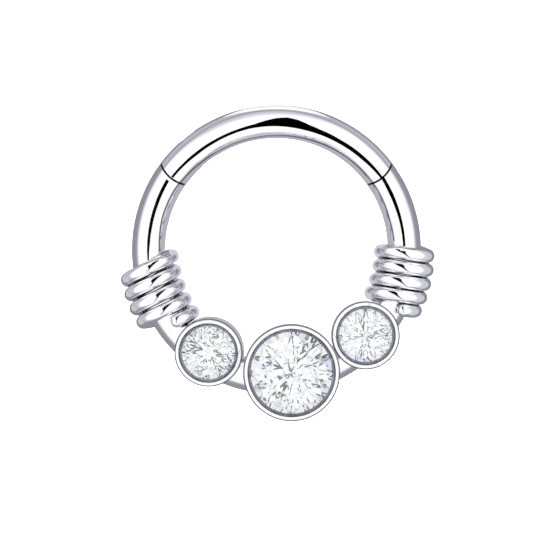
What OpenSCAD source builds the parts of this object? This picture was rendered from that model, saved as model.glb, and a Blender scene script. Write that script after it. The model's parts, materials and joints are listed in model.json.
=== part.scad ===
// Clicker ring: a hinged ring for a piercing, with three bezel-set stones and two wire wraps.
// The ring lies on its side. Its axis is +Z, the settings face up, and the hinged segment is at +Y.
// Sizes are in millimetres and angles in degrees. Ring angles run anticlockwise from +X.

/* [Ring] */
// Clear diameter inside the closed ring
inner_d = 8; // [8:0.5:10]
// Thickness of the round ring wire
wire_d = 1.2; // [1.1:0.05:1.3]

/* [Hinge and clasp] */
// Angle from the top of the ring to the centre of each knuckle
knuckle_turn = 42; // [38:1:46]
// Radius of the rounded knuckle at each end of the segment
knuckle_r = 1.08; // [0.95:0.01:1.2]
// Hairline gap of the two seams
seam_gap = 0.05; // [0.02:0.005:0.06]
// Thickness of the tongue in the middle of the hinge
tongue_t = 0.32; // [0.3:0.02:0.46]
// Clearance on each flat side of the tongue
tongue_gap = 0.02; // [0.01:0.005:0.03]
// Diameter of the hinge pin
pin_d = 0.36; // [0.3:0.02:0.44]
// Radial clearance of the pin in the tongue, where it turns
pin_running_gap = 0.02; // [0.01:0.005:0.04]
// Thickness of metal left over the blind end of the pin, at the front of the segment
pin_cover = 0.18; // [0.12:0.01:0.25]
// Thickness of the clasp's flat tab
tab_t = 0.3; // [0.2:0.02:0.4]
// How far the tab stands out of the segment's end
tab_reach = 0.35; // [0.2:0.01:0.45]
// Clearance all round the tab
tab_gap = 0.02; // [0.01:0.005:0.03]

/* [Settings] */
// Diameter of the large stone in the middle
center_stone_d = 3; // [2.6:0.1:3.2]
// Diameter of the two small stones
side_stone_d = 2; // [1.8:0.1:2.1]
// Angle from the bottom of the ring to the large setting, towards the right
setting_turn = 7; // [0:1:10]
// Distance of the settings' centres inside the middle of the wire
setting_inset = 0.2; // [0:0.05:0.3]
// Gap between the left cup and the large one
cup_gap_left = 0.11; // [0.03:0.01:0.2]
// Gap between the right cup and the large one
cup_gap_right = 0.015; // [0.01:0.005:0.1]
// Wall of a cup round its stone
cup_wall = 0.19; // [0.15:0.01:0.25]
// Height of the large cup's rim above the middle of the wire
center_rim_z = 2.1; // [2.05:0.05:2.3]
// Height of a small cup's rim above the middle of the wire
side_rim_z = 1.65; // [1.6:0.05:1.75]
// Width of the polished rim
rim_w = 0.15; // [0.12:0.01:0.17]
// Slope of the rim, which falls outwards
rim_slope = 24; // [0:2:30]
// How far the rim reaches over the edge of its stone
rim_hold = 0.06; // [0.03:0.01:0.08]
// Depth of the bevel inside the rim, as a part of the stone's diameter
bevel_ratio = 0.07; // [0.05:0.005:0.09]
// Clearance between a stone and its cup
stone_gap = 0.02; // [0.01:0.005:0.03]
// Thickness of a cup's closed back
cup_back = 0.15; // [0.1:0.01:0.2]
// Angle by which the left cup leans out of the ring
left_lean = 4; // [0:1:5]

/* [Stone cut] */
// Width of the table, as a part of the stone's diameter
table_ratio = 0.54; // [0.5:0.01:0.6]
// Slope of the crown's main facets
crown_angle = 34; // [30:1:36]
// Slope of the pavilion's main facets
pavilion_angle = 41; // [40:0.5:42]
// Thickness of the girdle, as a part of the stone's diameter
girdle_ratio = 0.02; // [0.015:0.005:0.03]

/* [Wire wraps] */
// Thickness of the wire of the wraps
wrap_wire_d = 0.49; // [0.45:0.01:0.5]
// Clearance between a wrap and the ring wire
wrap_gap = 0.03; // [0.03:0.01:0.06]

/* [Hidden] */

// Middle of the ring wire
ring_r = (inner_d + wire_d) / 2;
// Longer than anything it has to cut through
far = 2 * inner_d;
// Overlap that joins or cuts two solids cleanly
bite = 0.3;

steel = [0.85, 0.86, 0.88];
wrap_steel = [0.78, 0.79, 0.83];
stone_colour = [0.87, 0.94, 1];

// Hinge and clasp: each end of the wire is drawn this much longer than its knuckle needs, as an angle
spare_turn = 30;
hinge_at = 90 + knuckle_turn;
clasp_at = 90 - knuckle_turn;
// The fork's slot ends just past the round end of the tongue
tongue_inset = 0.02;
tongue_end_r = wire_d / 2 - tongue_inset;
fork_end_gap = 0.05;
fork_depth = tongue_end_r + fork_end_gap;
pin_press_gap = 0.005;
pin_recess = 0.03;
pin_bottom = -wire_d / 2 + pin_recess;
pin_top = wire_d / 2 - pin_cover;

// Wraps, a row for each: the angle of the ring where its turns stand square to the wire, the angle where the
// turn numbered 0 crosses the front, the pitch, and the turns at which the wire starts and ends
SQUARE_AT = 0;
FRONT_AT = 1;
PITCH = 2;
FIRST = 3;
LAST = 4;
left_wrap = [199.8, 188.35, 0.54, -0.38, 4];
right_wrap = [-13.7, -27.25, 0.51, 0.04, 4.55];
wrap_r = wire_d / 2 + wrap_gap + wrap_wire_d / 2;
wrap_outer_r = wrap_r + wrap_wire_d / 2;
rings_per_turn = 30;
wrap_sides = 10;
// The worn ends of the wire: how far round its edge each end ring lies
end_rounding = [75, 45];

// Settings
cup_circle_r = ring_r - setting_inset;
center_cup_r = center_stone_d / 2 + stone_gap + cup_wall;
side_cup_r = side_stone_d / 2 + stone_gap + cup_wall;
center_at = 270 + setting_turn;
left_at = center_at - cup_step(cup_gap_left);
right_at = center_at + cup_step(cup_gap_right);
seat_drop = 0.06;
rim_edge = 0.03;
back_edge = 0.08;
// A row for each setting: its angle on the ring, its stone's diameter, the height of its rim, and its lean
AT = 0;
STONE_D = 1;
RIM_Z = 2;
LEAN = 3;
left_setting = [left_at, side_stone_d, side_rim_z, left_lean];
center_setting = [center_at, center_stone_d, center_rim_z, 0];
right_setting = [right_at, side_stone_d, side_rim_z, 0];
settings = [left_setting, center_setting, right_setting];

// The closed ring stands on the undersides of its wraps, centred in X and Y
left_x = min([for (t = [left_wrap[FIRST] : 0.02 : left_wrap[LAST]]) wrap_point(left_wrap, t).x]) - wrap_wire_d / 2;
right_x = max([for (t = [right_wrap[FIRST] : 0.02 : right_wrap[LAST]]) wrap_point(right_wrap, t).x]) + wrap_wire_d / 2;
top_y = ring_r + wire_d / 2;
bottom_y = cup_circle_r * sin(center_at) - center_cup_r;
ring_centre = [-(left_x + right_x) / 2, -(top_y + bottom_y) / 2, wrap_outer_r];

function radial(a) = [cos(a), sin(a), 0];
function radial_2d(a) = [cos(a), sin(a)];
function ring_point(a) = ring_r * radial(a);
function unit(v) = v / norm(v);
// Angle at the ring's centre between the large cup and a small one that stands the given gap away
function cup_step(gap) = 2 * asin((center_cup_r + side_cup_r + gap) / (2 * cup_circle_r));

// Places its children in the ring's own frame
module on_ring() {
    translate(ring_centre) children();
}

// A stretch of round wire along the ring
module arc_wire(from, to) {
    rotate_extrude(angle = to - from, start = from, $fn = 144)
        translate([ring_r, 0]) circle(d = wire_d, $fn = 72);
}

// Local frame at a knuckle: +X points along the wire into the segment, and +Y points out of the ring
module at_hinge() {
    translate(ring_point(hinge_at)) rotate(hinge_at - 90) children();
}

module at_clasp() {
    mirror([1, 0, 0]) at_hinge() children();
}

// Upright round tool at a knuckle
module knuckle_tool(r) {
    translate([0, 0, -wire_d]) cylinder(r = r, h = 2 * wire_d, $fn = 96);
}

// Level slab across the wire at a knuckle, from x0 to x1 along it
module slab_tool(x0, x1, thickness) {
    translate([x0, -wire_d, -thickness / 2]) cube([x1 - x0, 2 * wire_d, thickness]);
}

// Round hole or pin on the hinge's axis
module hinge_axis(r, z0, z1) {
    translate([0, 0, z0]) cylinder(r = r, h = z1 - z0, $fn = 48);
}

// What lies between the two knuckles, with their round ends
module segment_region() {
    linear_extrude(2 * wire_d, center = true)
        polygon([[0, 0], far * radial_2d(clasp_at), far * radial_2d(90), far * radial_2d(hinge_at)]);
    at_hinge() knuckle_tool(knuckle_r);
    at_clasp() knuckle_tool(knuckle_r);
}

module hinge_tongue() {
    intersection() {
        arc_wire(hinge_at - spare_turn, hinge_at + spare_turn);
        at_hinge() slab_tool(-knuckle_r - bite, far, tongue_t);
        at_hinge() union() {
            knuckle_tool(tongue_end_r);
            slab_tool(-knuckle_r - bite, 0, wire_d);
        }
    }
}

// Heights in a setting are measured from the middle of the wire
function bevel_depth(setting) = bevel_ratio * setting[STONE_D];
function girdle_top(setting) =
    setting[RIM_Z] - bevel_depth(setting) - rim_hold * tan(crown_angle) - stone_gap;
function girdle_bottom(setting) = girdle_top(setting) - girdle_ratio * setting[STONE_D];
function inside_r(setting) = setting[STONE_D] / 2 + stone_gap;
// The seat cone stands this much lower than the stone's pavilion
function seat_z(setting) = girdle_bottom(setting) - seat_drop;
function floor_z(setting) = seat_z(setting) - inside_r(setting) * tan(pavilion_angle);

// A setting leans about the middle of its rim
module at_setting(setting) {
    rim_height = [0, 0, setting[RIM_Z]];
    translate(cup_circle_r * radial(setting[AT]) + rim_height)
        rotate(a = setting[LEAN], v = radial(setting[AT] + 90))
            translate(-rim_height) children();
}

// Outside of a closed bezel cup, with its edges broken
module cup_outside(setting) {
    outer_r = inside_r(setting) + cup_wall;
    back_z = floor_z(setting) - cup_back;
    rotate_extrude($fn = 96)
        polygon([
            [0, back_z],
            [outer_r - back_edge, back_z],
            [outer_r, back_z + back_edge],
            [outer_r, setting[RIM_Z] - rim_w * tan(rim_slope) - rim_edge],
            [outer_r - rim_edge, setting[RIM_Z] - (rim_w - rim_edge) * tan(rim_slope)],
            [outer_r - rim_w, setting[RIM_Z]],
            [0, setting[RIM_Z]]
        ]);
}

// Inside of a cup: the bevel over the stone's edge, the groove round its girdle, and the seat cone
module cup_inside(setting) {
    rim_inner_r = inside_r(setting) + cup_wall - rim_w;
    rotate_extrude($fn = 96)
        polygon([
            [0, floor_z(setting)],
            [inside_r(setting), seat_z(setting)],
            [inside_r(setting), girdle_top(setting) + stone_gap],
            [setting[STONE_D] / 2 - rim_hold, setting[RIM_Z] - bevel_depth(setting)],
            [rim_inner_r, setting[RIM_Z]],
            [rim_inner_r, setting[RIM_Z] + bite],
            [0, setting[RIM_Z] + bite]
        ]);
}

// The round wire below the segment, with its two hollow seats and the clasp's slot
module lower_wire() {
    difference() {
        arc_wire(hinge_at, clasp_at + 360);
        at_hinge() knuckle_tool(knuckle_r + seam_gap);
        at_clasp() knuckle_tool(knuckle_r + seam_gap);
        at_clasp() intersection() {
            knuckle_tool(knuckle_r + tab_reach + 2 * tab_gap);
            slab_tool(-far, 0, tab_t + 2 * tab_gap);
        }
    }
}

module ring_body() {
    color(steel) on_ring() difference() {
        union() {
            lower_wire();
            hinge_tongue();
            for (setting = settings) at_setting(setting) cup_outside(setting);
        }
        for (setting = settings) at_setting(setting) cup_inside(setting);
        at_hinge() hinge_axis(pin_d / 2 + pin_running_gap, -wire_d, wire_d);
    }
}

module hinged_segment() {
    color(steel) on_ring() difference() {
        union() {
            intersection() {
                arc_wire(clasp_at - spare_turn, hinge_at + spare_turn);
                segment_region();
            }
            intersection() {
                arc_wire(clasp_at - spare_turn, clasp_at + spare_turn);
                at_clasp() knuckle_tool(knuckle_r + tab_reach);
                at_clasp() slab_tool(-far, 0, tab_t);
            }
        }
        at_hinge() slab_tool(-2 * knuckle_r, fork_depth, tongue_t + 2 * tongue_gap);
        at_hinge() hinge_axis(pin_d / 2 + pin_press_gap, -wire_d, pin_top + pin_recess);
    }
}

module hinge_pin() {
    color(steel) on_ring() at_hinge() hinge_axis(pin_d / 2, pin_bottom, pin_top);
}

// Middle of a wrap's wire at turn t: the turns follow the ring, and all stand parallel
function wrap_point(wrap, t) =
    let (
        a = wrap[FRONT_AT] + t * wrap[PITCH] / ring_r * 180 / PI,
        phase = 270 + 360 * t
    )
    ring_point(a) + wrap_r * (cos(phase) * radial(wrap[SQUARE_AT]) - [0, 0, sin(phase)]);

// One ring of points round the wire at turn t, with radius r
function wrap_ring(wrap, t, r) =
    let (
        small = 0.001,
        along = unit(wrap_point(wrap, t + small) - wrap_point(wrap, t - small)),
        phase = 270 + 360 * t,
        outward = cos(phase) * radial(wrap[SQUARE_AT]) - [0, 0, sin(phase)],
        across = unit(cross(along, outward)),
        out = cross(across, along)
    )
    [for (j = [0 : wrap_sides - 1])
        let (b = 360 * j / wrap_sides)
        wrap_point(wrap, t) + r * (cos(b) * out + sin(b) * across)];

// Wire wound round the ring, with worn ends
module wire_wrap(wrap) {
    r = wrap_wire_d / 2;
    turn_length = 2 * PI * wrap_r;
    cap = r / turn_length;
    first = wrap[FIRST] + cap;
    last = wrap[LAST] - cap;
    steps = ceil((last - first) * rings_per_turn);
    rows = concat(
        [for (b = end_rounding) wrap_ring(wrap, first - cap * sin(b), r * cos(b))],
        [for (i = [0 : steps]) wrap_ring(wrap, first + (last - first) * i / steps, r)],
        [for (i = [len(end_rounding) - 1 : -1 : 0])
            wrap_ring(wrap, last + cap * sin(end_rounding[i]), r * cos(end_rounding[i]))]
    );
    m = wrap_sides;
    n = len(rows);
    polyhedron(
        points = [for (row = rows) each row],
        faces = concat(
            [[for (j = [0 : m - 1]) j]],
            [for (i = [0 : n - 2], j = [0 : m - 1])
                let (k = (j + 1) % m) each [
                    [i * m + j, (i + 1) * m + j, (i + 1) * m + k],
                    [i * m + j, (i + 1) * m + k, i * m + k]
                ]],
            [[for (j = [m - 1 : -1 : 0]) (n - 1) * m + j]]
        )
    );
}

module wire_wrap_left() {
    color(wrap_steel) on_ring() wire_wrap(left_wrap);
}

module wire_wrap_right() {
    color(wrap_steel) on_ring() wire_wrap(right_wrap);
}

// Round brilliant with its table, stars, mains and girdle facets, at its height in a setting
module brilliant(setting) {
    r = setting[STONE_D] / 2;
    top = girdle_top(setting);
    bottom = girdle_bottom(setting);
    half = 22.5;
    table_r = table_ratio * r;
    // The stars reach half way from the table to the girdle, and the lower halves nearly reach the culet
    star_r = (table_r * cos(half) + r) / 2;
    lower_r = 0.22 * r;
    table = [for (k = [0 : 7]) at_azimuth(table_r, 45 * k, top + (r - table_r) * tan(crown_angle))];
    stars = [for (k = [0 : 7])
        at_azimuth(star_r, 45 * k + half, top + (r - star_r * cos(half)) * tan(crown_angle))];
    girdle_up = [for (k = [0 : 15]) at_azimuth(r, half * k, top)];
    girdle_down = [for (k = [0 : 15]) at_azimuth(r, half * k, bottom)];
    lowers = [for (k = [0 : 7])
        at_azimuth(lower_r, 45 * k + half, bottom - (r - lower_r * cos(half)) * tan(pavilion_angle))];
    culet = [[0, 0, bottom - r * tan(pavilion_angle)]];
    // First index of each set of points
    S = 8;
    U = 16;
    D = 32;
    L = 48;
    C = 56;
    polyhedron(
        points = concat(table, stars, girdle_up, girdle_down, lowers, culet),
        faces = concat(
            [[for (k = [7 : -1 : 0]) k]],
            [for (k = [0 : 7])
                let (next = (k + 1) % 8, last = (k + 7) % 8, a = 2 * k, b = 2 * k + 1, c = (2 * k + 2) % 16) each [
                    [k, next, S + k],
                    [k, S + k, U + a, S + last],
                    [S + k, U + b, U + a],
                    [S + k, U + c, U + b],
                    [U + a, U + b, D + b, D + a],
                    [U + b, U + c, D + c, D + b],
                    [L + k, D + a, D + b],
                    [L + k, D + b, D + c],
                    [C, L + last, D + a, L + k]
                ]]
        )
    );
}

function at_azimuth(r, a, z) = [r * cos(a), r * sin(a), z];

module stone_left() {
    color(stone_colour) on_ring() at_setting(left_setting) brilliant(left_setting);
}

module stone_center() {
    color(stone_colour) on_ring() at_setting(center_setting) brilliant(center_setting);
}

module stone_right() {
    color(stone_colour) on_ring() at_setting(right_setting) brilliant(right_setting);
}

ring_body();
hinged_segment();
hinge_pin();
wire_wrap_left();
wire_wrap_right();
stone_left();
stone_center();
stone_right();
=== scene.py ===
"""Looks of the hinged clicker ring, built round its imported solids.

Shapes are worked out in millimetres in the ring's own frame: origin at the ring's centre, axis +Z,
hinged segment at +Y. They are moved to the part's frame, in metres, when a piece is finished.
Ring angles are in degrees and run anticlockwise from +X.
"""

import json
import math

import bpy
import numpy as np
from mathutils import Matrix, Vector
from mathutils.geometry import tessellate_polygon


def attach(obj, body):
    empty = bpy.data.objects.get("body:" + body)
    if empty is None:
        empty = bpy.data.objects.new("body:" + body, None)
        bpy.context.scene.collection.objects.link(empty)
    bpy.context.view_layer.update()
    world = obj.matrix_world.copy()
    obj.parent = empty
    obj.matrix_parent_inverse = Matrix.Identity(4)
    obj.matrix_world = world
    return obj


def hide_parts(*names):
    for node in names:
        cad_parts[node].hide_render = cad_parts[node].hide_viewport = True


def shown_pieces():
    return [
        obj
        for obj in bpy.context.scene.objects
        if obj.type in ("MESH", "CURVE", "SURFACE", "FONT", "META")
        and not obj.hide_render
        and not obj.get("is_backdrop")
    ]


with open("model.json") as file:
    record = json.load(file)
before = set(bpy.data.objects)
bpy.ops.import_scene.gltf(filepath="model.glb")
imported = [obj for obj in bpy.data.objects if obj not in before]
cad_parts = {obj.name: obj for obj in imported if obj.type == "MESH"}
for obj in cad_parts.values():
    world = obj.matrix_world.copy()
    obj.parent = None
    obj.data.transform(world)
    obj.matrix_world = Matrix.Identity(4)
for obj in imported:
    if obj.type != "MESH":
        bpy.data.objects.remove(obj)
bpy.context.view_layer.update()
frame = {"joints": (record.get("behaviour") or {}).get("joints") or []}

MM = 0.001

# Driving sizes of the part, in millimetres
WIRE_R = 0.6
RING_R = 4.6
KNUCKLE_TURN = 42
KNUCKLE_R = 1.08
SEAM_GAP = 0.05
# Width that the worn edges add to a seam
SEAM_WEAR = 0.02
TONGUE_T = 0.32
TONGUE_GAP = 0.02
TONGUE_INSET = 0.02
TONGUE_END_R = WIRE_R - TONGUE_INSET
FORK_END_GAP = 0.05
FORK_DEPTH = TONGUE_END_R + FORK_END_GAP
PIN_R = 0.18
PIN_RUNNING_GAP = 0.02
PIN_PRESS_GAP = 0.005
PIN_RECESS = 0.03
PIN_COVER = 0.18
PIN_BOTTOM = PIN_RECESS - WIRE_R
PIN_TOP = WIRE_R - PIN_COVER
TAB_T = 0.3
TAB_REACH = 0.35
TAB_GAP = 0.02
SETTING_TURN = 7
SETTING_INSET = 0.2
CUP_CIRCLE_R = RING_R - SETTING_INSET
CENTER_STONE_D = 3.0
SIDE_STONE_D = 2.0
CENTER_RIM_Z = 2.1
SIDE_RIM_Z = 1.65
CUP_GAP_LEFT = 0.11
CUP_GAP_RIGHT = 0.015
LEFT_LEAN = 4
CUP_WALL = 0.19
STONE_GAP = 0.02
CUP_BACK = 0.15
SEAT_DROP = 0.06
RIM_W = 0.15
RIM_HOLD = 0.06
LIP_SLOPE = math.radians(24)
BEVEL_RATIO = 0.07
CROWN = math.radians(34)
PAVILION = math.radians(41)
GIRDLE_RATIO = 0.02
TABLE_RATIO = 0.54
# Width of the strip along each side of an edge between facets, as a part of the stone's radius
EDGE_LINE = 0.03
# Share of the pavilion's facets that have painted dark lines along their edges
DARK_SHARE = 0.5
# How far facets' corners are off their places
CUT_OFF = 0.02
ZIRCONIA_IOR = 2.15
WRAP_WIRE_R = 0.245
WRAP_GAP = 0.03
WRAP_R = WIRE_R + WRAP_GAP + WRAP_WIRE_R

# Wraps: the angle of the ring where the turns stand square to the wire, the angle where the turn numbered 0
# crosses the front, the pitch, and the turns at which the wire starts and ends
LEFT_WRAP = (199.8, 188.35, 0.54, -0.38, 4)
RIGHT_WRAP = (-13.7, -27.25, 0.51, 0.04, 4.55)

HINGE_AT = 90 + KNUCKLE_TURN
CLASP_AT = 90 - KNUCKLE_TURN
# Longer than anything that a tool has to cut through
FAR = 12.0
# How far a joined solid reaches into its neighbour
BITE = 0.3
# Rounding of the cups' rims, of their backs and of the pin's ends
RIM_ROUNDING = 0.09
BACK_ROUNDING = 0.08
PIN_ROUNDING = 0.02


def radial(angle):
    """Unit vector that points out of the ring at a ring angle."""
    a = math.radians(angle)
    return np.array([math.cos(a), math.sin(a), 0.0])


# The hinge's place in the record gives the ring's centre in the part's frame
hinge_place = np.array(frame["joints"][0]["pos_m"]) / MM
ring_centre = hinge_place - RING_R * radial(HINGE_AT)


class Setting:
    """Heights and radii of one stone and its cup, above the middle of the wire. The cup leans out of the ring
    by an angle, about the middle of its rim."""

    def __init__(self, angle, stone_d, rim_z, lean=0):
        self.place = CUP_CIRCLE_R * radial(angle)
        rim_height = Vector((0, 0, rim_z))
        self.to_ring = (
            Matrix.Translation(Vector(self.place) + rim_height)
            @ Matrix.Rotation(math.radians(lean), 4, Vector(radial(angle + 90)))
            @ Matrix.Translation(-rim_height)
        )
        self.stone_r = stone_d / 2
        self.rim_z = rim_z
        self.inside_r = self.stone_r + STONE_GAP
        self.outer_r = self.inside_r + CUP_WALL
        self.bevel_z = rim_z - BEVEL_RATIO * stone_d
        self.girdle_top = self.bevel_z - RIM_HOLD * math.tan(CROWN) - STONE_GAP
        self.girdle_bottom = self.girdle_top - GIRDLE_RATIO * stone_d
        self.seat_z = self.girdle_bottom - SEAT_DROP
        self.floor_z = self.seat_z - self.inside_r * math.tan(PAVILION)
        self.back_z = self.floor_z - CUP_BACK


def cup_step(gap):
    """Angle at the ring's centre between the large cup and a small one, the given gap apart."""
    reach = (CENTER_STONE_D + SIDE_STONE_D) / 2 + 2 * (STONE_GAP + CUP_WALL) + gap
    return 2 * math.degrees(math.asin(reach / (2 * CUP_CIRCLE_R)))


CENTER_AT = 270 + SETTING_TURN
settings = {
    "left": Setting(CENTER_AT - cup_step(CUP_GAP_LEFT), SIDE_STONE_D, SIDE_RIM_Z, LEFT_LEAN),
    "center": Setting(CENTER_AT, CENTER_STONE_D, CENTER_RIM_Z),
    "right": Setting(CENTER_AT + cup_step(CUP_GAP_RIGHT), SIDE_STONE_D, SIDE_RIM_Z),
}


# Surfaces. While solids are cut, a face's material index says on which surface it lies. Each surface is a
# function that gives exact normals at corners, from the corners' places and their faces' centres. A surface
# can have a look other than its piece's own, by the name of a material.
surfaces = [None]
looks = ["machined_steel"]
FLAT = 0
SLOTS = 40


def add_surface(normals_at, look=None):
    surfaces.append(normals_at)
    looks.append(look)
    return len(surfaces) - 1


def unit(v):
    return v / np.maximum(np.linalg.norm(v, axis=-1, keepdims=True), 1e-12)


def torus_normals(p, centres):
    middle = unit(p * [1, 1, 0]) * RING_R
    return unit(p - middle)


TORUS = add_surface(torus_normals)
# Faces of wraps and stones, which keep the normals that Blender gives them
OWN = add_surface(None)
CROWN_EDGE = add_surface(None, "crown_edge")
PAVILION_EDGE = add_surface(None, "pavilion_edge")


def new_solid(name, points, faces, tags):
    mesh = bpy.data.meshes.new(name)
    mesh.from_pydata([tuple(map(float, p)) for p in points], [], faces)
    for _ in range(SLOTS):
        mesh.materials.append(None)
    mesh.polygons.foreach_set("material_index", np.asarray(tags, np.int32))
    mesh.update()
    obj = bpy.data.objects.new(name, mesh)
    bpy.context.scene.collection.objects.link(obj)
    return obj


def rounded_profile(corners, steps=6):
    """Points of an outline in (r, z), and for each stretch its normals at both ends and its look. A corner is
    (r, z, rounding), and can go on with the look of its rounding and of the side that follows it."""
    corners = [tuple(c) + (None,) * (5 - len(c)) for c in corners]
    at = [np.array(c[:2], float) for c in corners]
    n = len(at)
    way = [unit(at[(i + 1) % n] - at[i]) for i in range(n)]
    out = [np.array([w[1], -w[0]]) for w in way]
    points, stretches = [], []
    for i in range(n):
        w0, w1, n0, n1 = way[i - 1], way[i], out[i - 1], out[i]
        if corners[i][2] == 0:
            points.append(at[i])
            stretches.append((n1, n1, corners[i][4]))
            continue
        turn = math.atan2(w0[0] * w1[1] - w0[1] * w1[0], float(w0 @ w1))
        back = corners[i][2] * math.tan(abs(turn) / 2)
        middle = at[i] - w0 * back - n0 * corners[i][2] * math.copysign(1, turn)
        for k in range(steps + 1):
            a = turn * k / steps
            c, s = math.cos(a), math.sin(a)
            here = np.array([c * n0[0] - s * n0[1], s * n0[0] + c * n0[1]])
            points.append(middle + here * corners[i][2] * math.copysign(1, turn))
            if k < steps:
                a = turn * (k + 1) / steps
                c, s = math.cos(a), math.sin(a)
                ahead = np.array([c * n0[0] - s * n0[1], s * n0[0] + c * n0[1]])
                stretches.append((here, ahead, corners[i][3]))
            else:
                stretches.append((n1, n1, corners[i][4]))
    return np.array(points), stretches


def revolved(name, corners, to_ring, sides=128, look=None):
    """Solid of revolution about an upright axis, moved into the ring's frame. The outline runs anticlockwise
    from the axis and back to it."""
    outline, stretches = rounded_profile(corners)
    n = len(outline)
    turn = np.array(to_ring)[:3, :3]
    place = np.array(to_ring)[:3, 3]

    def normals_at(p, centres):
        local, middle = (p - place) @ turn, (centres - place) @ turn
        rz = np.stack([np.hypot(local[:, 0], local[:, 1]), local[:, 2]], 1)
        face_rz = np.stack([np.hypot(middle[:, 0], middle[:, 1]), middle[:, 2]], 1)
        best, result = np.full(len(p), 1e9), np.zeros((len(p), 3))
        around = unit(local * [1, 1, 0])
        for i in range(n):
            a, b = outline[i], outline[(i + 1) % n]
            ab = b - a
            if ab @ ab < 1e-12 or (a[0] < 1e-9 and b[0] < 1e-9):
                continue
            t_face = np.clip((face_rz - a) @ ab / (ab @ ab), 0, 1)
            gap = np.linalg.norm(face_rz - a - t_face[:, None] * ab, axis=1)
            t = np.clip((rz - a) @ ab / (ab @ ab), 0, 1)[:, None]
            n2 = unit((1 - t) * stretches[i][0] + t * stretches[i][1])
            here = gap < best
            best[here] = gap[here]
            result[here] = (around * n2[:, :1] + n2[:, 1:] * [0, 0, 1])[here]
        return unit(result) @ turn.T

    tags = {part: add_surface(normals_at, part or look) for part in {stretch[2] for stretch in stretches}}
    points, rings = [], []
    for r, z in outline:
        if r < 1e-9:
            rings.append([len(points)] * sides)
            points.append(np.array([0, 0, z]))
        else:
            rings.append(list(range(len(points), len(points) + sides)))
            for k in range(sides):
                points.append(r * radial(360 * k / sides) + [0, 0, z])
    faces, face_tags = [], []
    for i in range(n):
        low, high = rings[i], rings[(i + 1) % n]
        for k in range(sides):
            m = (k + 1) % sides
            corner = [low[k], low[m], high[m], high[k]]
            face = [c for j, c in enumerate(corner) if c != corner[j - 1]]
            if len(face) > 2:
                faces.append(face)
                face_tags.append(tags[stretches[i][2]])
    return new_solid(name, np.array(points) @ turn.T + place, faces, face_tags)


def wire(name, start, end, start_sign, end_sign, end_r, steps, sides=80):
    """Round wire along the ring between two knuckles. Its ends follow upright arcs of radius end_r about the
    knuckles, on the side of greater ring angle where the sign is 1. Without end_r they are square."""
    beta = 2 * np.pi * np.arange(sides) / sides
    rho = RING_R + WIRE_R * np.cos(beta)
    if end_r:
        delta = np.degrees(np.arccos((rho**2 + RING_R**2 - end_r**2) / (2 * rho * RING_R)))
    else:
        delta = np.zeros(sides)
    first, last = start + start_sign * delta, end + end_sign * delta
    points = []
    for i in range(steps + 1):
        a = np.radians(first + (last - first) * i / steps)
        points.append(np.stack([rho * np.cos(a), rho * np.sin(a), WIRE_R * np.sin(beta)], 1))
    faces, tags = [], []
    for i in range(steps):
        for j in range(sides):
            k = (j + 1) % sides
            faces.append([i * sides + j, i * sides + k, (i + 1) * sides + k, (i + 1) * sides + j])
            tags.append(TORUS)
    cap_tags = [FLAT, FLAT]
    if end_r:
        for number, at in enumerate((start, end)):
            knuckle = RING_R * radial(at)
            cap_tags[number] = add_surface(
                lambda p, centres, knuckle=knuckle: unit((p - knuckle) * [1, 1, 0]), "machined_steel"
            )
    half = sides // 2
    for row, tag, flip in ((0, cap_tags[0], False), (steps * sides, cap_tags[1], True)):
        for j in range(half):
            ring = [row + j, row + j + 1, row + (sides - j - 1) % sides, row + (sides - j) % sides]
            face = [c for i, c in enumerate(ring) if c != ring[i - 1]]
            faces.append(face if flip else face[::-1])
            tags.append(tag)
    faces = [f[::-1] for f in faces] if last[0] < first[0] else faces
    return new_solid(name, np.concatenate(points), faces, tags)


def slab(name, low, high):
    """Plain box between two corners."""
    x0, y0, z0 = low
    x1, y1, z1 = high
    points = [(x, y, z) for z in (z0, z1) for x, y in ((x0, y0), (x1, y0), (x1, y1), (x0, y1))]
    faces = [[3, 2, 1, 0], [4, 5, 6, 7], [0, 1, 5, 4], [1, 2, 6, 5], [2, 3, 7, 6], [3, 0, 4, 7]]
    return new_solid(name, points, faces, [FLAT] * 6)


def slab_at_knuckle(name, at, x0, x1, thickness):
    """Level slab across the wire at a knuckle, from x0 to x1 along the wire towards the segment."""
    obj = slab(name, (x0, -2 * WIRE_R, -thickness / 2), (x1, 2 * WIRE_R, thickness / 2))
    middle = RING_R * radial(at)
    turn = math.radians(at - 90)
    flip = 1 if at > 90 else -1
    for v in obj.data.vertices:
        x, y, z = v.co
        x *= flip
        v.co = (
            middle[0] + x * math.cos(turn) - y * math.sin(turn),
            middle[1] + x * math.sin(turn) + y * math.cos(turn),
            z,
        )
    if flip < 0:
        obj.data.flip_normals()
    return obj


def knuckle_tool(name, at, r, z0=-2 * WIRE_R, z1=2 * WIRE_R):
    """Upright round tool at a knuckle."""
    corners = [(0, z0, 0), (r, z0, 0), (r, z1, 0), (0, z1, 0)]
    return revolved(name, corners, Matrix.Translation(RING_R * radial(at)), 96, "machined_steel")


def carve(obj, *steps):
    """Cuts, joins or trims a solid with others in turn. A step is an operation and its tool, which is
    used up."""
    for operation, tool in steps:
        modifier = obj.modifiers.new(operation, "BOOLEAN")
        modifier.operation = operation
        modifier.solver = "EXACT"
        modifier.object = tool
    graph = bpy.context.evaluated_depsgraph_get()
    made = bpy.data.meshes.new_from_object(obj.evaluated_get(graph))
    obj.modifiers.clear()
    obj.data = made
    for _, tool in steps:
        bpy.data.objects.remove(tool)
    return obj


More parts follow.
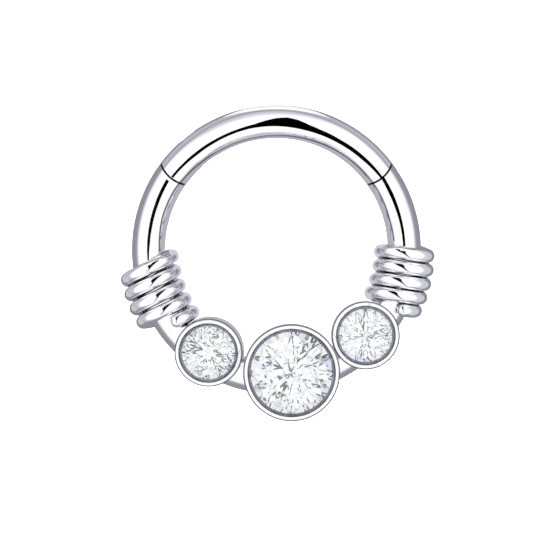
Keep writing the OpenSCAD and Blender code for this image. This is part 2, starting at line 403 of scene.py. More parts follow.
def finish_piece(obj, body, slot, material, *nodes):
    """Moves a piece to the part's frame, gives it its body and material, and hides the nodes it stands for.
    Its slot is not used."""
    mesh = obj.data
    co = np.empty(len(mesh.vertices) * 3)
    mesh.vertices.foreach_get("co", co)
    mesh.vertices.foreach_set("co", ((co.reshape(-1, 3) + ring_centre) * MM).ravel())
    tags = np.empty(len(mesh.polygons), np.int32)
    mesh.polygons.foreach_get("material_index", tags)
    mesh.materials.clear()
    mesh.materials.append(material)
    index = np.zeros(len(tags), np.int32)
    for look in sorted({looks[tag] for tag in tags} - {None}):
        index[[looks[tag] == look for tag in tags]] = len(mesh.materials)
        mesh.materials.append(bpy.data.materials[look])
    mesh.polygons.foreach_set("material_index", index)
    mesh.update()
    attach(obj, body)
    if nodes:
        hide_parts(*nodes)
    return obj


def exact_normals(obj):
    """Gives every corner the exact normal of the surface its face lies on."""
    mesh = obj.data
    loops = len(mesh.loops)
    co = np.empty(len(mesh.vertices) * 3)
    mesh.vertices.foreach_get("co", co)
    corner = np.empty(loops, np.int32)
    mesh.loops.foreach_get("vertex_index", corner)
    count = len(mesh.polygons)
    tags, total = np.empty(count, np.int32), np.empty(count, np.int32)
    centre, normal = np.empty(count * 3), np.empty(count * 3)
    mesh.polygons.foreach_get("material_index", tags)
    mesh.polygons.foreach_get("loop_total", total)
    mesh.polygons.foreach_get("center", centre)
    mesh.polygons.foreach_get("normal", normal)
    face = np.repeat(np.arange(count), total)
    p = co.reshape(-1, 3)[corner]
    centres, flat = centre.reshape(-1, 3)[face], normal.reshape(-1, 3)[face]
    normals = flat.copy()
    for tag in np.unique(tags):
        if tag != FLAT:
            here = tags[face] == tag
            exact = surfaces[tag](p[here], centres[here])
            facing = np.sign(np.sum(exact * flat[here], axis=1))
            normals[here] = exact * np.where(facing == 0, 1, facing)[:, None]
    mesh.shade_smooth()
    mesh.normals_split_custom_set([tuple(n) for n in normals])
    return obj


# Materials


def new_material(name):
    material = bpy.data.materials.new(name)
    material.use_nodes = True
    return material, material.node_tree, material.node_tree.nodes["Principled BSDF"]


def in_crevices(tree, reach, low, high):
    """Value that falls from 1 on open surfaces to 0 deep between neighbouring ones, which sets where shade is
    painted.
    """
    open_sky = tree.nodes.new("ShaderNodeAmbientOcclusion")
    open_sky.samples = 8
    open_sky.inputs["Distance"].default_value = reach * MM
    spread = tree.nodes.new("ShaderNodeMapRange")
    spread.inputs["From Min"].default_value = low
    spread.inputs["From Max"].default_value = high
    tree.links.new(open_sky.outputs["AO"], spread.inputs["Value"])
    return spread.outputs["Result"]


def varied_roughness(tree, shader, low, high, seed, scale=900):
    place = tree.nodes.new("ShaderNodeTexCoord")
    cloud = tree.nodes.new("ShaderNodeTexNoise")
    cloud.noise_dimensions = "4D"
    cloud.inputs["W"].default_value = seed
    cloud.inputs["Scale"].default_value = scale
    cloud.inputs["Detail"].default_value = 4
    spread = tree.nodes.new("ShaderNodeMapRange")
    spread.inputs["From Min"].default_value = 0.35
    spread.inputs["From Max"].default_value = 0.65
    spread.inputs["To Min"].default_value = low
    spread.inputs["To Max"].default_value = high
    tree.links.new(place.outputs["Object"], cloud.inputs["Vector"])
    tree.links.new(cloud.outputs["Fac"], spread.inputs["Value"])
    tree.links.new(spread.outputs["Result"], shader.inputs["Roughness"])


def metal(name, colour, rough_low, rough_high, seed, crevice_shade=None, shade_colour=(0.3, 0.28, 0.35)):
    """Steel with faint rubbing marks, and painted shade in its crevices. A crevice shade is a reach, the
    openness where it is darkest and where it ends; there the base colour darkens towards the shade colour."""
    material, tree, shader = new_material(name)
    shader.inputs["Base Color"].default_value = (*colour, 1)
    shader.inputs["Metallic"].default_value = 1
    varied_roughness(tree, shader, rough_low, rough_high, seed)
    if crevice_shade:
        mix = tree.nodes.new("ShaderNodeMix")
        mix.data_type = "RGBA"
        mix.inputs["A"].default_value = (*shade_colour, 1)
        mix.inputs["B"].default_value = (*colour, 1)
        tree.links.new(in_crevices(tree, *crevice_shade), mix.inputs["Factor"])
        tree.links.new(mix.outputs["Result"], shader.inputs["Base Color"])
    return material


def clear_stone(name):
    material, tree, shader = new_material(name)
    shader.inputs["Base Color"].default_value = (1, 1, 1, 1)
    shader.inputs["Roughness"].default_value = 0.0
    shader.inputs["IOR"].default_value = ZIRCONIA_IOR
    shader.inputs["Transmission Weight"].default_value = 1
    return material


def facet_edge(name, clear, low, high):
    """Narrow dark line along an edge between facets, a painted dark reflection. It comes and goes, between
    two values of the noise, and is this clear where it is darkest."""
    material, tree, shader = new_material(name)
    shader.inputs["Roughness"].default_value = 0.0
    shader.inputs["IOR"].default_value = ZIRCONIA_IOR
    place = tree.nodes.new("ShaderNodeTexCoord")
    cloud = tree.nodes.new("ShaderNodeTexNoise")
    cloud.inputs["Scale"].default_value = 2500
    spread = tree.nodes.new("ShaderNodeMapRange")
    spread.inputs["From Min"].default_value = low
    spread.inputs["From Max"].default_value = high
    spread.inputs["To Min"].default_value = 1
    spread.inputs["To Max"].default_value = clear
    shade = tree.nodes.new("ShaderNodeMix")
    shade.data_type = "RGBA"
    shade.inputs["A"].default_value = (0.02, 0.02, 0.03, 1)
    shade.inputs["B"].default_value = (1, 1, 1, 1)
    tree.links.new(place.outputs["Object"], cloud.inputs["Vector"])
    tree.links.new(cloud.outputs["Fac"], spread.inputs["Value"])
    tree.links.new(spread.outputs["Result"], shade.inputs["Factor"])
    tree.links.new(shade.outputs["Result"], shader.inputs["Base Color"])
    tree.links.new(spread.outputs["Result"], shader.inputs["Transmission Weight"])
    return material


def seat_backing_glow(name):
    """Bright backing in the seat under a stone, which also glows: painted light."""
    material, tree, shader = new_material(name)
    shader.inputs["Base Color"].default_value = (0.9, 0.93, 1, 1)
    shader.inputs["Roughness"].default_value = 0.6
    shader.inputs["Emission Color"].default_value = (0.9, 0.95, 1, 1)
    shader.inputs["Emission Strength"].default_value = 0.8
    return material


# Crevice shade in these metals is painted shade: the base colour darkens where ambient occlusion is low,
# almost to black in machined steel.
steel = metal("polished_steel", (0.93, 0.93, 0.945), 0.02, 0.05, 1.0, (0.2, 0.05, 0.45))
wrap_steel = metal("drawn_wire", (0.93, 0.93, 0.945), 0.06, 0.12, 2.0, (0.2, 0.1, 0.52))
metal("machined_steel", (0.4, 0.4, 0.42), 0.35, 0.5, 3.0, (0.3, 0.3, 0.9), (0.005, 0.005, 0.007))
# Darker copy of the polished steel for the rounded outer edge of the cups' rims: painted shade.
metal("rim_edge", (0.32, 0.32, 0.35), 0.1, 0.2, 4.0)
# Darker copies of the steel for the bevel inside the cups, darkest on its upper half: painted shade.
metal("bevel_high", (0.15, 0.15, 0.17), 0.2, 0.3, 5.0)
metal("bevel_low", (0.28, 0.28, 0.31), 0.2, 0.3, 6.0)
# Seat backing with a glow: painted light.
seat_backing_glow("foil")
# Dark lines along the stones' facet edges: painted dark reflections.
facet_edge("crown_edge", 0.45, 0.45, 0.55)
facet_edge("pavilion_edge", 0, 0.475, 0.51)
zirconia = clear_stone("zirconia")


# The ring's own metal


def cup_outside(setting):
    rim_r = setting.outer_r - RIM_W
    return revolved("cup", [
        (0, setting.back_z, 0),
        (setting.outer_r, setting.back_z, BACK_ROUNDING),
        # The rim's rounded outer edge has painted shade.
        (setting.outer_r, setting.rim_z - RIM_W * math.tan(LIP_SLOPE), RIM_ROUNDING, "rim_edge"),
        (rim_r, setting.rim_z, 0),
        (0, setting.rim_z, 0),
    ], setting.to_ring)


def cup_inside(setting):
    rim_r = setting.outer_r - RIM_W
    return revolved("cavity", [
        # The seat's backing glows: painted light.
        (0, setting.floor_z, 0, None, "foil"),
        (setting.inside_r, setting.seat_z, 0, None, "foil"),
        (setting.inside_r, setting.girdle_top + STONE_GAP, 0),
        # The bevel inside the rim has painted shade.
        (setting.stone_r - RIM_HOLD, setting.bevel_z, 0, None, "bevel_low"),
        (
            (setting.stone_r - RIM_HOLD + rim_r) / 2,
            (setting.bevel_z + setting.rim_z) / 2,
            0, None, "bevel_high",
        ),
        (rim_r, setting.rim_z, 0),
        (rim_r, setting.rim_z + BITE, 0),
        (0, setting.rim_z + BITE, 0),
    ], setting.to_ring)


def build_ring_metal():
    body = wire("ring_metal", HINGE_AT, CLASP_AT + 360, 1, -1, KNUCKLE_R + SEAM_GAP + SEAM_WEAR, 240)
    slot = carve(
        knuckle_tool("slot", CLASP_AT, KNUCKLE_R + TAB_REACH + 2 * TAB_GAP),
        ("INTERSECT", slab_at_knuckle("slab", CLASP_AT, -FAR, 0, TAB_T + 2 * TAB_GAP)),
    )
    tongue_end = carve(
        knuckle_tool("tongue_end", HINGE_AT, TONGUE_END_R),
        ("UNION", slab_at_knuckle("slab", HINGE_AT, -KNUCKLE_R - BITE, 0, 4 * WIRE_R)),
    )
    tongue = carve(
        wire("tongue", HINGE_AT - 30, HINGE_AT + 30, 0, 0, 0, 40),
        ("INTERSECT", slab_at_knuckle("slab", HINGE_AT, -KNUCKLE_R - BITE, FAR, TONGUE_T)),
        ("INTERSECT", tongue_end),
    )
    carve(body, ("DIFFERENCE", slot), ("UNION", tongue))
    carve(body, *[("UNION", cup_outside(s)) for s in settings.values()])
    carve(body, *[("DIFFERENCE", cup_inside(s)) for s in settings.values()])
    carve(body, ("DIFFERENCE", knuckle_tool("hole", HINGE_AT, PIN_R + PIN_RUNNING_GAP)))
    exact_normals(body)
    return finish_piece(body, "ring", "polished_steel", steel, "ring_body")


def build_segment():
    segment = wire("segment_metal", CLASP_AT, HINGE_AT, -1, 1, KNUCKLE_R, 96)
    tab = carve(
        wire("tab", CLASP_AT - 30, CLASP_AT + 10, 0, 0, 0, 30),
        ("INTERSECT", slab_at_knuckle("slab", CLASP_AT, -FAR, 0, TAB_T)),
        ("INTERSECT", knuckle_tool("tab_end", CLASP_AT, KNUCKLE_R + TAB_REACH)),
    )
    fork = slab_at_knuckle("fork", HINGE_AT, -2 * KNUCKLE_R, FORK_DEPTH, TONGUE_T + 2 * TONGUE_GAP)
    hole = knuckle_tool("hole", HINGE_AT, PIN_R + PIN_PRESS_GAP, -2 * WIRE_R, PIN_TOP + PIN_RECESS)
    carve(segment, ("UNION", tab), ("DIFFERENCE", fork), ("DIFFERENCE", hole))
    exact_normals(segment)
    return finish_piece(segment, "segment", "polished_steel", steel, "hinged_segment")


def build_pin():
    corners = [
        (0, PIN_BOTTOM, 0),
        (PIN_R, PIN_BOTTOM, PIN_ROUNDING),
        (PIN_R, PIN_TOP, PIN_ROUNDING),
        (0, PIN_TOP, 0),
    ]
    pin = revolved("pin", corners, Matrix.Translation(RING_R * radial(HINGE_AT)), 64)
    exact_normals(pin)
    return finish_piece(pin, "segment", "polished_steel", steel, "hinge_pin")


# Wire wraps


def wrap_points(wrap, t):
    """Middle of a wrap's wire at turns t: the turns follow the ring, and all stand parallel."""
    square_at, front_at, pitch = wrap[:3]
    a = np.radians(front_at) + t * pitch / RING_R
    phase = np.radians(270 + 360 * t)
    ring = RING_R * np.stack([np.cos(a), np.sin(a), 0 * a], 1)
    outward = np.outer(np.cos(phase), radial(square_at)) - np.outer(np.sin(phase), [0, 0, 1])
    return ring + WRAP_R * outward, outward


def build_wrap(name, wrap, node, sides=32, rings_per_turn=90):
    """Wire wound round the ring, with worn ends."""
    cap = WRAP_WIRE_R / (2 * math.pi * WRAP_R)
    first, last = wrap[3] + cap, wrap[4] - cap
    count = int((last - first) * rings_per_turn)
    edge = np.radians(np.arange(80, 0, -10))
    t = np.concatenate([
        first - cap * np.sin(edge),
        np.linspace(first, last, count),
        last + cap * np.sin(edge[::-1]),
    ])
    r = WRAP_WIRE_R * np.concatenate([np.cos(edge), np.ones(count), np.cos(edge[::-1])])
    middle, outward = wrap_points(wrap, t)
    small = 0.001
    along = unit(wrap_points(wrap, t + small)[0] - wrap_points(wrap, t - small)[0])
    across = unit(np.cross(along, outward))
    out = np.cross(across, along)
    b = 2 * np.pi * np.arange(sides) / sides
    points = middle[:, None] + r[:, None, None] * (
        np.cos(b)[None, :, None] * out[:, None] + np.sin(b)[None, :, None] * across[:, None]
    )
    n = len(t)
    faces = [list(range(sides))]
    for i in range(n - 1):
        for j in range(sides):
            k = (j + 1) % sides
            faces.append([i * sides + j, (i + 1) * sides + j, (i + 1) * sides + k, i * sides + k])
    faces.append(list(range(n * sides - 1, (n - 1) * sides - 1, -1)))
    obj = new_solid(name, points.reshape(-1, 3), faces, [OWN] * len(faces))
    obj.data.shade_smooth()
    return finish_piece(obj, "ring", "wrap_wire", wrap_steel, node)


# Stones


def with_edge_lines(points, facets, width):
    """Splits every facet into its middle and a narrow strip along each of its edges. A facet is its corners
    and the surface of its strips."""
    points, faces, tags = list(points), [], []
    for facet, edge in facets:
        at = np.array([points[i] for i in facet])
        n = len(facet)
        normal = unit(sum(np.cross(at[i] - at[0], at[(i + 1) % n] - at[0]) for i in range(1, n - 1)))
        way = unit(np.roll(at, -1, 0) - at)
        inward = np.cross(normal, way)
        first = len(points)
        for i in range(n):
            # Where the two inset lines meet at this corner
            shift = inward[i] + inward[i - 1]
            points.append(at[i] + width * shift / (1 + inward[i] @ inward[i - 1]))
        faces.append([first + i for i in range(n)])
        tags.append(OWN)
        for i in range(n):
            k = (i + 1) % n
            faces.append([facet[i], facet[k], first + k, first + i])
            tags.append(edge)
    return points, faces, tags


def build_stone(name, setting, node, seed):
    """Round brilliant with its table, stars, mains and girdle facets, cut a little unevenly."""
    r, top, bottom = setting.stone_r, setting.girdle_top, setting.girdle_bottom
    half = 22.5
    table_r = TABLE_RATIO * r
    star_r = (table_r * math.cos(math.radians(half)) + r) / 2
    lower_r = 0.22 * r

    def ring(radius, count, turn, z):
        return [radius * radial(turn + 360 * k / count) + [0, 0, z] for k in range(count)]

    def crown_z(radius):
        return top + (r - radius) * math.tan(CROWN)

    def pavilion_z(radius):
        return bottom - (r - radius) * math.tan(PAVILION)

    cos_half = math.cos(math.radians(half))
    points = (
        ring(table_r, 8, 0, crown_z(table_r))
        + ring(star_r, 8, half, crown_z(star_r * cos_half))
        + ring(r, 16, 0, top)
        + ring(r, 16, 0, bottom)
        + ring(lower_r, 8, half, pavilion_z(lower_r * cos_half))
        + [np.array([0, 0, pavilion_z(0)])]
    )
    star, up, down, low, culet = 8, 16, 32, 48, 56
    chance = np.random.default_rng(seed)
    for i in list(range(star, up)) + list(range(low, culet + 1)):
        points[i] = points[i] + chance.uniform(-CUT_OFF, CUT_OFF, 3)
    facets = [(list(range(8)), CROWN_EDGE)]
    for k in range(8):
        after, before = (k + 1) % 8, (k + 7) % 8
        a, b, c = 2 * k, 2 * k + 1, (2 * k + 2) % 16
        crown = [
            [star + k, after, k],
            [star + before, up + a, star + k, k],
            [up + a, up + b, star + k],
            [up + b, up + c, star + k],
            [down + a, down + b, up + b, up + a],
            [down + b, down + c, up + c, up + b],
        ]
        pavilion = [
            [down + b, down + a, low + k],
            [down + c, down + b, low + k],
            [low + k, down + a, low + before, culet],
        ]
        facets += [(f, CROWN_EDGE) for f in crown]
        facets += [(f, PAVILION_EDGE if chance.random() < DARK_SHARE else OWN) for f in pavilion]
    points, faces, tags = with_edge_lines(points, facets, EDGE_LINE * r)
    obj = new_solid(name, [setting.to_ring @ Vector(p) for p in points], faces, tags)
    return finish_piece(obj, "ring", "clear_stone", zirconia, node)


ring_metal = build_ring_metal()
segment_metal = build_segment()
build_pin()
wraps = [
    build_wrap("wrap_left_wire", LEFT_WRAP, "wire_wrap_left"),
    build_wrap("wrap_right_wire", RIGHT_WRAP, "wire_wrap_right"),
]
build_stone("stone_left_cut", settings["left"], "stone_left", 1)
build_stone("stone_center_cut", settings["center"], "stone_center", 2)
build_stone("stone_right_cut", settings["right"], "stone_right", 3)


# Camera, floor and light

CAMERA_HEIGHT = 100.0
VIEW_WIDTH = 19.78
CAMERA_OVER = np.array([-0.05, -0.917, 0.0])
# The camera's place above the ring, from which reflections are worked out
CAMERA_PLACE = CAMERA_OVER + [0, 0, CAMERA_HEIGHT]
# Height of the dark cards over the wire, and distance of those that the wraps see
NEAR_CARD_Z = 1.3
WEDGE_CARD = 8.0
# Outlines of dark reflections on the round wire, as corners of ring angle and of place across the wire, which
# is -1 at its inner edge and 1 at its outer edge
SEGMENT_DARK = [
    (34, -0.15), (47, -0.286), (60, -0.347), (76, -0.37), (90, -0.327), (102, -0.307), (120, -0.337),
    (130, -0.325), (145.4, -0.19), (145.4, -0.04), (140, -0.08), (130, -0.14), (118, -0.163), (108, -0.147),
    (100, -0.093), (95, 0.03), (90, 0.157), (85, 0.222), (80, 0.147), (75, 0), (70, -0.063), (60, -0.1),
    (50, -0.065), (34, 0),
]
LEFT_DARK = [
    (147.5, -0.1), (160, -0.143), (170, -0.146), (178, -0.12), (185, -0.05), (185, 0.04), (172, 0.045),
    (160, 0.061), (147.5, 0.11),
]
RIGHT_DARK = [
    (1, -0.125), (10, -0.148), (20, -0.18), (26, -0.18), (34, -0.14), (34, 0.07), (25, 0.04), (15, 0.02),
    (1, 0.025),
]
# Outlines of the dark reflections on the strands of a wrap, as corners in millimetres from the strand's
# crest: along the strand and across it
LEFT_WEDGE = [
    (0.5, 0.115), (0.3, 0.127), (0.17, 0.122), (0.06, 0.1), (0.0, 0.07), (0.02, 0.01), (-0.01, -0.03),
    (-0.09, -0.07), (-0.19, -0.125), (-0.04, -0.075), (0.05, -0.035), (0.1, -0.01), (0.17, 0.02),
    (0.25, 0.047), (0.33, 0.068), (0.42, 0.09),
]
RIGHT_WEDGE = [
    (-0.43, 0.105), (-0.3, 0.118), (-0.17, 0.122), (-0.08, 0.115), (-0.01, 0.07), (0.02, 0.01), (0.08, -0.04),
    (0.17, -0.09), (0.3, -0.14), (0.13, -0.1), (0.03, -0.06), (-0.04, -0.025), (-0.13, 0.01), (-0.21, 0.032),
    (-0.29, 0.058), (-0.36, 0.082),
]
# Strips of light and shade along the sides of the wire: ring angle, and the places across from which to
# which a strip is seen there
INNER_LINE = [
    (4, -0.67, -0.59), (15, -0.73, -0.65), (30, -0.71, -0.63), (45, -0.75, -0.67), (60, -0.81, -0.73),
    (75, -0.87, -0.79), (90, -0.92, -0.83), (105, -0.92, -0.83), (120, -0.9, -0.82), (135, -0.82, -0.74),
    (144, -0.72, -0.64), (150, -0.66, -0.58), (165, -0.64, -0.56), (175, -0.71, -0.63), (182, -0.74, -0.66),
]
OUTER_SHADE = [
    (36, 0.52, 0.67), (60, 0.5, 0.67), (72, 0.42, 0.67), (85, 0.35, 0.67), (105, 0.33, 0.67),
    (120, 0.35, 0.67), (130, 0.43, 0.67), (144, 0.53, 0.67),
]
INNER_BAND = [
    (66, -0.74, -0.7), (75, -0.76, -0.6), (90, -0.79, -0.6), (105, -0.8, -0.57), (120, -0.79, -0.55),
    (128, -0.72, -0.57), (133, -0.68, -0.64),
]
OUTER_BAND = [(36, 0.65, 0.86), (144, 0.65, 0.86)]
OUTER_STREAK = [
    (68, 0.8, 0.82), (76, 0.73, 0.94), (90, 0.69, 0.98), (102, 0.73, 0.97), (112, 0.82, 0.84),
]
# How much farther out each layer of the shade starts and ends, and how far apart the layers are
SHADE_STEP = 0.06
SHADE_END_STEP = 0.02
SHADE_GAP = 0.05
# Level distances of the strips from the wire
LINE_REACH = 3.0
SHADE_REACH = 1.5
# How far a bright cover lies below its dark card over the wire, and how much wider it is
COVER_GAP = 0.03
COVER_EDGE = 0.015
# The same for a card of a wrap, as a part of its distance, and the width
WEDGE_COVER_AT = 0.995
WEDGE_COVER_EDGE = 0.004
SIDE_CARD_HALF = 12


def add_camera():
    data = bpy.data.cameras.new("camera")
    data.sensor_width = 36
    data.lens = data.sensor_width * CAMERA_HEIGHT / VIEW_WIDTH
    data.clip_start = 0.005
    data.clip_end = 20
    camera = bpy.data.objects.new("camera", data)
    bpy.context.scene.collection.objects.link(camera)
    camera.location = Vector((ring_centre + CAMERA_OVER + [0, 0, CAMERA_HEIGHT]) * MM)
    bpy.context.scene.camera = camera


def flat_shape(name, outline, z, material):
    """Level polygon that isn't part of the object."""
    mesh = bpy.data.meshes.new(name)
    points = [tuple((ring_centre + [x, y, z]) * MM) for x, y in outline]
    mesh.from_pydata(points, [], [list(range(len(points)))])
    mesh.materials.append(material)
    obj = bpy.data.objects.new(name, mesh)
    bpy.context.scene.collection.objects.link(obj)
    obj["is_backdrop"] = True
    return obj


def add_floor():
    material, tree, shader = new_material("pale_floor")
    shader.inputs["Base Color"].default_value = (0.95, 0.95, 0.96, 1)
    shader.inputs["Roughness"].default_value = 0.9
    shader.inputs["Emission Color"].default_value = (1, 1, 1, 1)
    shader.inputs["Emission Strength"].default_value = 0.75
    size = 2000
    square = [(-size, -size), (size, -size), (size, size), (-size, size)]
    floor = flat_shape("floor", square, -ring_centre[2], material)
    floor.visible_glossy = False


def only_in_reflections(card):
    card.visible_camera = False
    card.visible_diffuse = False
    card.visible_shadow = False
    card.visible_transmission = False


def glow_material(name, colour, strength):
    """Light that doesn't hide what lies behind it."""
    material = bpy.data.materials.new(name)
    material.use_nodes = True
    tree = material.node_tree
    tree.nodes.clear()
    out = tree.nodes.new("ShaderNodeOutputMaterial")
    add = tree.nodes.new("ShaderNodeAddShader")
    light = tree.nodes.new("ShaderNodeEmission")
    clear = tree.nodes.new("ShaderNodeBsdfTransparent")
    light.inputs["Color"].default_value = (*colour, 1)
    light.inputs["Strength"].default_value = strength
    tree.links.new(light.outputs[0], add.inputs[0])
    tree.links.new(clear.outputs[0], add.inputs[1])
    tree.links.new(add.outputs[0], out.inputs["Surface"])
    return material


def shade_material(name, colour):
    """Thin grey film, which dims what is seen through it."""
    material = bpy.data.materials.new(name)
    material.use_nodes = True
    tree = material.node_tree
    tree.nodes.clear()
    out = tree.nodes.new("ShaderNodeOutputMaterial")
    clear = tree.nodes.new("ShaderNodeBsdfTransparent")
    clear.inputs["Color"].default_value = (*colour, 1)
    tree.links.new(clear.outputs[0], out.inputs["Surface"])
    return material


def lights_only(card, objs):
    """The card shines on these objects alone."""
    group = bpy.data.collections.new(card.name + "_lights")
    for obj in objs:
        group.objects.link(obj)
    card.light_linking.receiver_collection = group


def reflected(place, normal):
    """Direction in which a mirror at this place would show things to the camera."""
    view = unit(CAMERA_PLACE - place)
    return 2 * (normal @ view) * normal - view


def on_wire(angle, across):
    """Place and normal on the round wire."""
    normal = across * radial(angle) + math.sqrt(1 - across**2) * np.array([0, 0, 1])
    return RING_R * radial(angle) + WIRE_R * normal, normal


def on_strand(wrap, turn, along, across):
    """Place and normal near the crest of a wrap's strand."""
    crest, _ = wrap_points(wrap, np.array([float(turn)]))
    ahead, _ = wrap_points(wrap, np.array([turn + 0.001]))
    way = unit((ahead - crest)[0] * [1, 1, 0])
    way = way * math.copysign(1, way[0])
    a = math.asin(along / (WRAP_R + WRAP_WIRE_R))
    b = math.asin(across / WRAP_WIRE_R)
    up = math.sin(a) * way + math.cos(a) * np.array([0, 0, 1])
    normal = math.cos(b) * up + math.sin(b) * np.cross([0, 0, 1], way)
    return crest[0] + WRAP_WIRE_R * normal, unit(normal)


def card_from(name, corners, faces, material):
    mesh = bpy.data.meshes.new(name)
    mesh.from_pydata([tuple((ring_centre + c) * MM) for c in corners], [], faces)
    mesh.materials.append(material)
    card = bpy.data.objects.new(name, mesh)
    bpy.context.scene.collection.objects.link(card)
    card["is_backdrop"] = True
    only_in_reflections(card)
    return card


def card_mesh(name, flat_outline, corners, material):
    """Card through the given corners, filled in the way their flat outline is."""
    triangles = tessellate_polygon([[Vector((x, y, 0)) for x, y in flat_outline]])
    return card_from(name, corners, [list(t) for t in triangles], material)


def grown(outline, width):
    """Outline moved outward by a width on all sides."""
    at = np.array(outline)
    way = unit(np.roll(at, -1, 0) - at)
    turning = sum(at[i - 1][0] * at[i][1] - at[i][0] * at[i - 1][1] for i in range(len(at)))
    out = math.copysign(1, turning) * np.stack([way[:, 1], -way[:, 0]], 1)
    before = np.roll(out, 1, 0)
    return at + width * (out + before) / np.maximum(1 + np.sum(out * before, 1), 0.4)[:, None]


def add_dark_card(name, flat_outline, dark_corners, bright_corners, seen_by):
    """Dark card with a bright one just before it, which makes up for it in all pieces but those it is for."""
    card_mesh(name, flat_outline, dark_corners, bpy.data.materials["dark_card"])
    bright = card_mesh(name + "_cover", flat_outline, bright_corners, bpy.data.materials["cover_card"])
    lights_only(bright, [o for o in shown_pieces() if o not in seen_by])


def with_steps(corners):
    """An outline on the wire with a corner every few degrees."""
    fine = []
    for (a0, s0), (a1, s1) in zip(corners, corners[1:] + corners[:1]):
        for t in np.linspace(0, 1, max(2, int(abs(a1 - a0) / 2) + 2))[:-1]:
            fine.append((a0 + (a1 - a0) * t, s0 + (s1 - s0) * t))
    return fine


def add_strip(name, rows, reach, material):
    """Card seen in the side of the wire, at a level distance from it."""
    angles = np.arange(rows[0][0], rows[-1][0] + 1, 2)
    at, *sides = np.array(rows).T
    corners = []
    for side in sides:
        for angle, across in zip(angles, np.interp(angles, at, side)):
            place, normal = on_wire(angle, across)
            way = reflected(place, normal)
            corners.append(place + way * reach / math.hypot(way[0], way[1]))
    n = len(angles)
    return card_from(name, corners, [[i, i + 1, n + i + 1, n + i] for i in range(n - 1)], material)


def add_wire_card(name, corners, seen_by):
    dark = []
    for angle, across in with_steps(corners):
        place, normal = on_wire(angle, across)
        way = reflected(place, normal)
        dark.append(place + way * (NEAR_CARD_Z - place[2]) / way[2])
    flat = [p[:2] for p in dark]
    bright = [np.array([x, y, NEAR_CARD_Z - COVER_GAP]) for x, y in grown(flat, COVER_EDGE)]
    add_dark_card(name, flat, dark, bright, seen_by)


def add_wedge_card(name, wrap, turn, corners, seen_by):
    cover = grown(corners, WEDGE_COVER_EDGE)
    rows = []
    for outline, distance in ((corners, WEDGE_CARD), (cover, WEDGE_COVER_AT * WEDGE_CARD)):
        row = []
        for corner in outline:
            place, normal = on_strand(wrap, turn, *corner)
            row.append(place + distance * reflected(place, normal))
        rows.append(row)
    add_dark_card(name, corners, *rows, seen_by)


def add_cards(wire_pieces):
    """Dark cards and strips of light and shade round the ring, seen only in polished metal."""
    _, _, shader = new_material("dark_card")
    shader.inputs["Base Color"].default_value = (0, 0, 0, 1)
    shader.inputs["Specular IOR Level"].default_value = 0
    shader.inputs["Roughness"].default_value = 1
    glow_material("cover_card", (1, 1, 1), 1.1)
    add_wire_card("segment_dark", SEGMENT_DARK, wire_pieces)
    add_wire_card("left_dark", LEFT_DARK, wire_pieces)
    add_wire_card("right_dark", RIGHT_DARK, wire_pieces)
    add_wedge_card("left_wedge", LEFT_WRAP, 2, LEFT_WEDGE, wraps[:1])
    add_wedge_card("right_wedge", RIGHT_WRAP, 2, RIGHT_WEDGE, wraps[1:])
    grey, _, shader = new_material("grey_card")
    shader.inputs["Base Color"].default_value = (0, 0, 0, 1)
    shader.inputs["Specular IOR Level"].default_value = 0
    shader.inputs["Emission Color"].default_value = (0.95, 0.95, 1, 1)
    shader.inputs["Emission Strength"].default_value = 0.13
    add_strip("inner_line", INNER_LINE, LINE_REACH, grey)
    film = shade_material("film", (0.85, 0.85, 0.87))
    for layer in range(3):
        rows = [(a, s + layer * SHADE_STEP, end + layer * SHADE_END_STEP) for a, s, end in OUTER_SHADE]
        add_strip("outer_shade%d" % layer, rows, SHADE_REACH + SHADE_GAP * layer, film)
    for name, rows, reach, strength in (
        ("inner_band", INNER_BAND, 3.1, 0.22),
        ("outer_band", OUTER_BAND, 1.3, 0.2),
        ("outer_streak", OUTER_STREAK, 1.2, 0.6),
    ):
        strip = add_strip(name, rows, reach, glow_material(name, (1, 1, 1), strength))
        lights_only(strip, wire_pieces[1:])


def add_floor_glow(name, inner_r, outer_r, height, strength, seen_by):
    """Flat ring of pale light just over the floor, seen only in the polished metal of these pieces."""
    turns = np.linspace(0, 2 * math.pi, 49)
    z = height - ring_centre[2]
    corners = [(r * math.cos(a), r * math.sin(a), z) for r in (inner_r, outer_r) for a in turns]
    n = len(turns)
    faces = [[i, i + 1, n + i + 1, n + i] for i in range(n - 1)]
    card = card_from(name, corners, faces, glow_material(name, (0.92, 0.92, 1), strength))
    lights_only(card, seen_by)


def add_side_card(name, x, low, high, strength, wrap):
    """White card beside the ring, which shines on one wrap alone."""
    half = SIDE_CARD_HALF
    corners = [(x, -half, low), (x, half, low), (x, half, high), (x, -half, high)]
    card = card_from(name, corners, [[0, 1, 2, 3]], glow_material(name, (1, 1, 1), strength))
    lights_only(card, [wrap])


def sparkle_room(tree, place, background):
    """What is seen through the stones: white, with pale blue places."""
    cloud = tree.nodes.new("ShaderNodeTexNoise")
    cloud.inputs["Scale"].default_value = 2.5
    blue = tree.nodes.new("ShaderNodeValToRGB")
    blue.color_ramp.elements[0].position = 0.5
    blue.color_ramp.elements[0].color = (1, 1, 1, 1)
    blue.color_ramp.elements[1].position = 0.65
    blue.color_ramp.elements[1].color = (0.62, 0.77, 0.92, 1)
    room = tree.nodes.new("ShaderNodeBackground")
    room.inputs["Strength"].default_value = 1.15
    path = tree.nodes.new("ShaderNodeLightPath")
    choose = tree.nodes.new("ShaderNodeMixShader")
    out = tree.nodes["World Output"]
    tree.links.new(place.outputs["Generated"], cloud.inputs["Vector"])
    tree.links.new(cloud.outputs["Fac"], blue.inputs["Fac"])
    tree.links.new(blue.outputs["Color"], room.inputs["Color"])
    tree.links.new(path.outputs["Is Transmission Ray"], choose.inputs[0])
    tree.links.new(background.outputs[0], choose.inputs[1])
    tree.links.new(room.outputs[0], choose.inputs[2])
    tree.links.new(choose.outputs[0], out.inputs["Surface"])


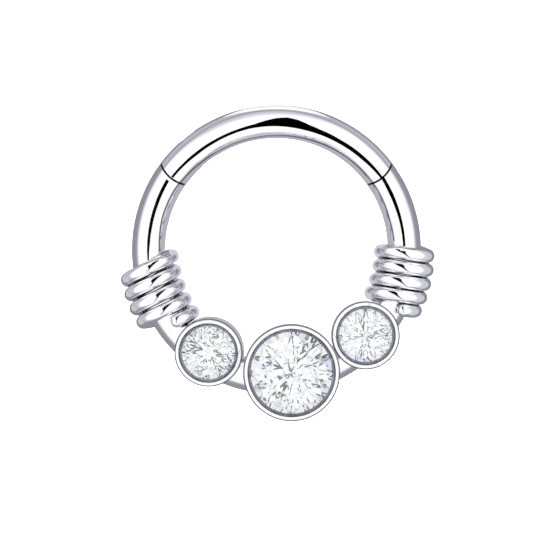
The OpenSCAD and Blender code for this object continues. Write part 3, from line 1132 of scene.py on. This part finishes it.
def add_world():
    """Soft dome of light: white overhead and lavender grey round the horizon."""
    world = bpy.data.worlds.new("studio")
    bpy.context.scene.world = world
    world.use_nodes = True
    tree = world.node_tree
    background = tree.nodes["Background"]
    place = tree.nodes.new("ShaderNodeTexCoord")
    split = tree.nodes.new("ShaderNodeSeparateXYZ")
    height = tree.nodes.new("ShaderNodeMapRange")
    height.inputs["From Min"].default_value = -1
    height.inputs["From Max"].default_value = 1
    ramp = tree.nodes.new("ShaderNodeValToRGB")
    stops = [
        (-1.0, (0.286, 0.286, 0.319)),
        (-0.3, (0.297, 0.297, 0.341)),
        (0.0, (0.341, 0.341, 0.39)),
        (0.1, (0.44, 0.44, 0.495)),
        (0.25, (0.825, 0.825, 0.869)),
        (0.45, (1.1, 1.1, 1.1)),
    ]
    ramp.color_ramp.elements.remove(ramp.color_ramp.elements[1])
    for number, (z, colour) in enumerate(stops):
        spot = (z + 1) / 2
        stop = ramp.color_ramp.elements[0] if number == 0 else ramp.color_ramp.elements.new(spot)
        stop.position = spot
        stop.color = (*colour, 1)
    tree.links.new(place.outputs["Generated"], split.inputs["Vector"])
    tree.links.new(split.outputs["Z"], height.inputs["Value"])
    tree.links.new(height.outputs["Result"], ramp.inputs["Fac"])
    tree.links.new(ramp.outputs["Color"], background.inputs["Color"])
    sparkle_room(tree, place, background)


def add_key_light():
    """Soft overhead light that brightens the floor."""
    data = bpy.data.lights.new("overhead", "SUN")
    data.energy = 3.5
    data.angle = math.radians(60)
    light = bpy.data.objects.new("overhead", data)
    bpy.context.scene.collection.objects.link(light)
    light.rotation_euler = (math.radians(15), math.radians(-10), 0)
    light.visible_glossy = False
    light.visible_transmission = False


add_camera()
add_floor()
wire_pieces = [ring_metal, segment_metal]
add_cards(wire_pieces)
add_floor_glow("ring_glow", inner_r=0.01, outer_r=3.8, height=0.02, strength=0.2, seen_by=wire_pieces)
add_floor_glow("wrap_glow", inner_r=1.7, outer_r=4.0, height=0.04, strength=0.17, seen_by=wraps)
add_floor_glow("wrap_bright_glow", inner_r=2.3, outer_r=4.0, height=0.06, strength=0.22, seen_by=wraps)
add_side_card("left_outer_card", x=-12, low=-6.5, high=8, strength=0.33, wrap=wraps[0])
add_side_card("left_inner_card", x=12, low=-2.6, high=5.3, strength=0.1, wrap=wraps[0])
add_side_card("right_outer_card", x=12, low=-4.5, high=8, strength=0.33, wrap=wraps[1])
add_side_card("right_inner_card", x=-12, low=-2.6, high=5.3, strength=0.1, wrap=wraps[1])
add_world()
add_key_light()
bpy.context.scene.view_settings.view_transform = "Standard"
